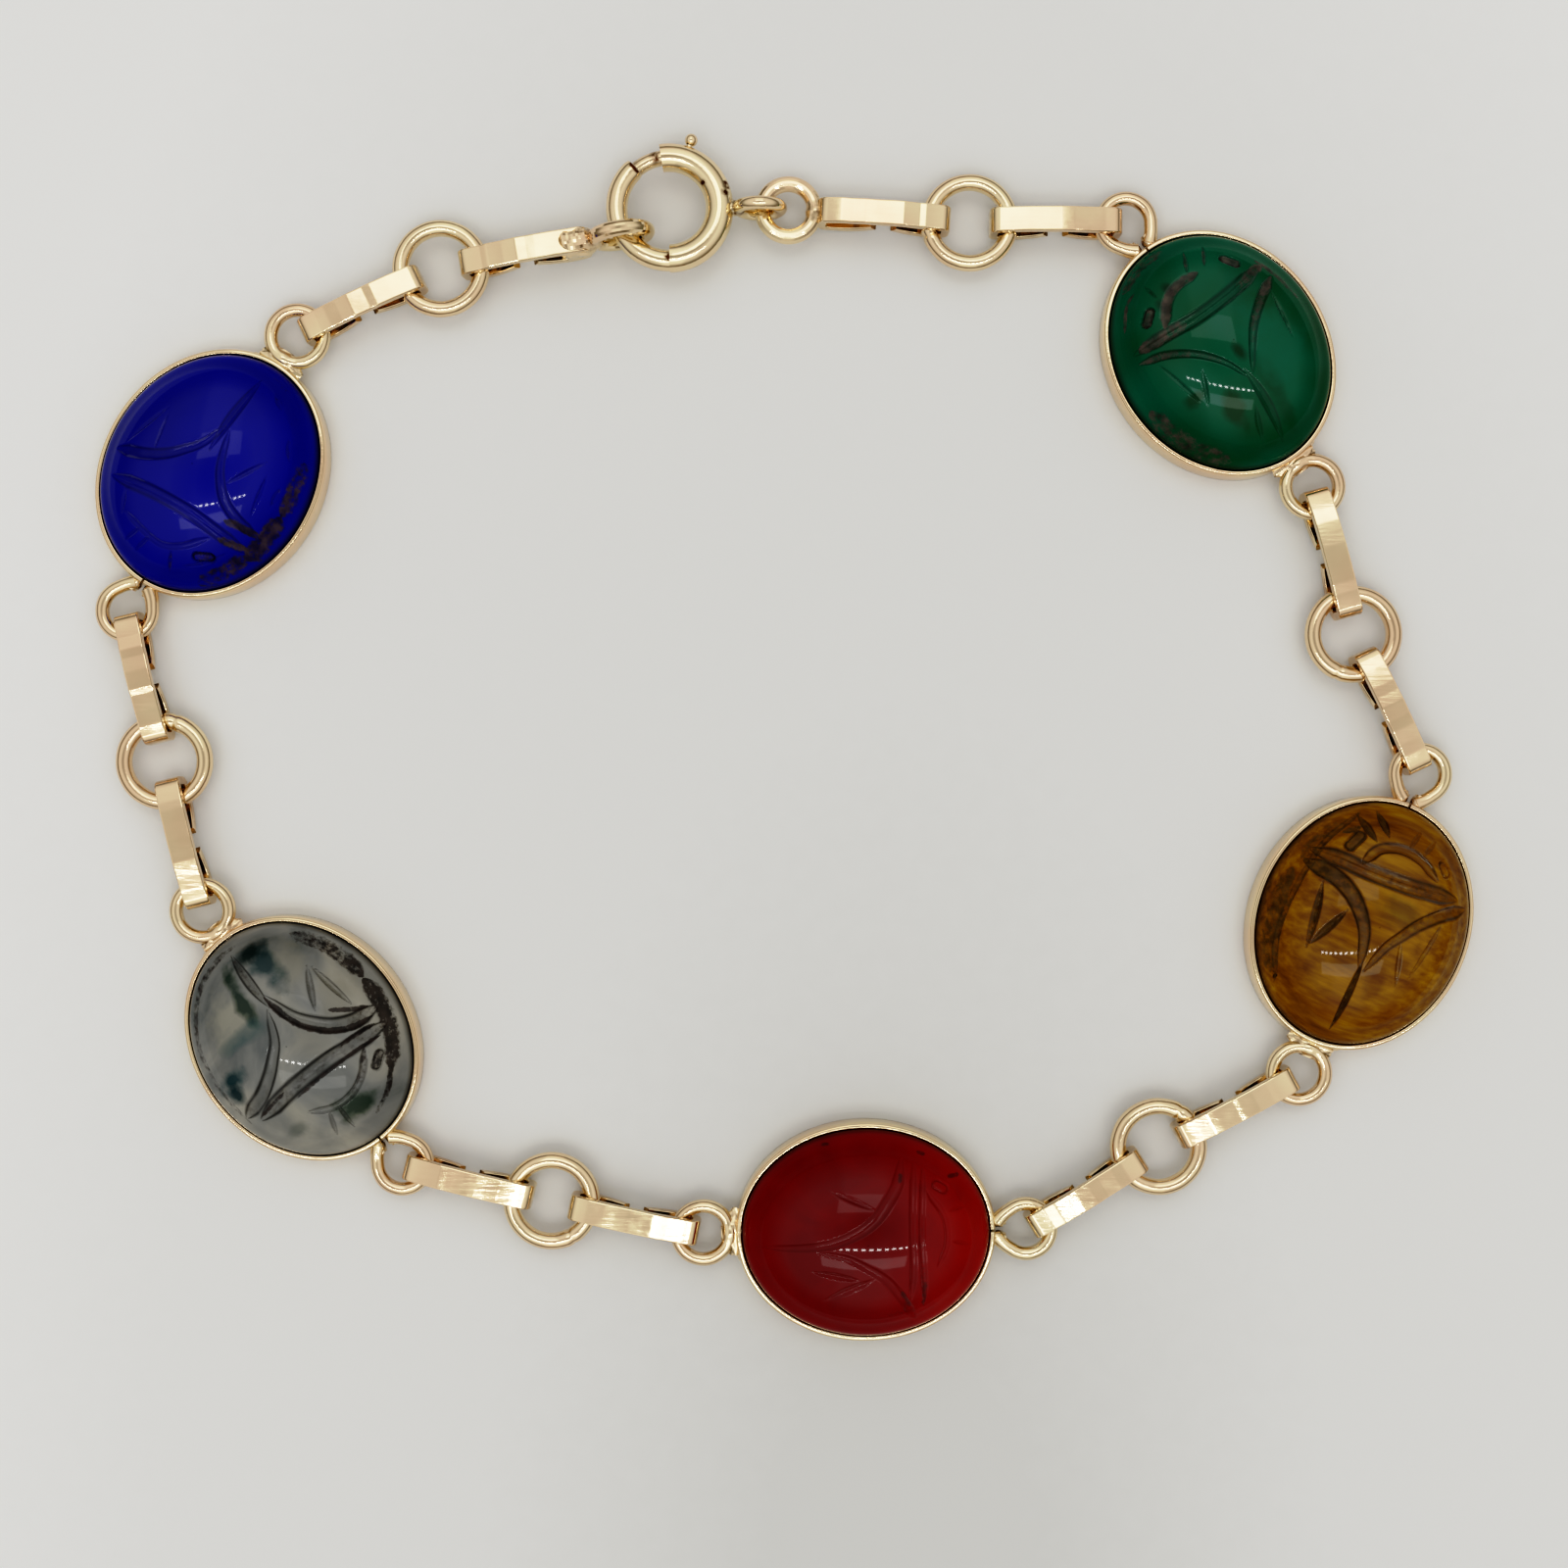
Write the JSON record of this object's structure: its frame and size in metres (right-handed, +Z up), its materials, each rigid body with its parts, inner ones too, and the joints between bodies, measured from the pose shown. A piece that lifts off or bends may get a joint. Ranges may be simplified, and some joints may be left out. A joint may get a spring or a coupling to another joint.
{
  "type": "scarab bracelet",
  "caption": "Gold bracelet laid as a closed loop: carved oval scarab stones in open-backed bezels, joined by round rings and folded flat links, closed by a spring ring clasp.",
  "frame": {"origin": "middle of the bracelet's footprint, at the surface it lies on", "axes": "+Z up from the surface, +X along the loop's longest reach, with the clasp at the back (+Y)"},
  "size_m": [0.0672, 0.0588, 0.0044],
  "materials": {
    "gold": "polished 14k yellow gold",
    "green_stone": "polished deep green onyx, dark in its cuts",
    "tiger_stone": "polished tiger eye, golden brown with fine silky bands",
    "red_stone": "polished dark carnelian",
    "grey_stone": "polished translucent moss agate",
    "blue_stone": "polished deep blue stone"
  },
  "bodies": {
    "bracelet": {"bezel_green": "gold", "stone_green": "green_stone", "bezel_tiger": "gold", "stone_tiger": "tiger_stone", "bezel_red": "gold", "stone_red": "red_stone", "bezel_grey": "gold", "stone_grey": "grey_stone", "bezel_blue": "gold", "stone_blue": "blue_stone", "ring_a": "gold", "ring_b": "gold", "ring_c": "gold", "ring_d": "gold", "ring_e": "gold", "ring_f": "gold", "link_1": "gold", "link_2": "gold", "link_3": "gold", "link_4": "gold", "link_5": "gold", "link_6": "gold", "link_7": "gold", "link_8": "gold", "link_9": "gold", "link_10": "gold", "link_11": "gold", "link_12": "gold", "clasp_body": "gold"},
    "gate": {"clasp_gate": "gold"}
  },
  "joints": [
    {"name": "clasp_gate", "type": "hinge", "parent": "bracelet", "child": "gate", "pos_m": [-0.00558, 0.02578, 0.00142], "axis": [0, 0, -1], "range_deg": [0, 36], "stiffness_Nm_per_rad": 0.004, "springref_deg": -34.38}
  ]
}
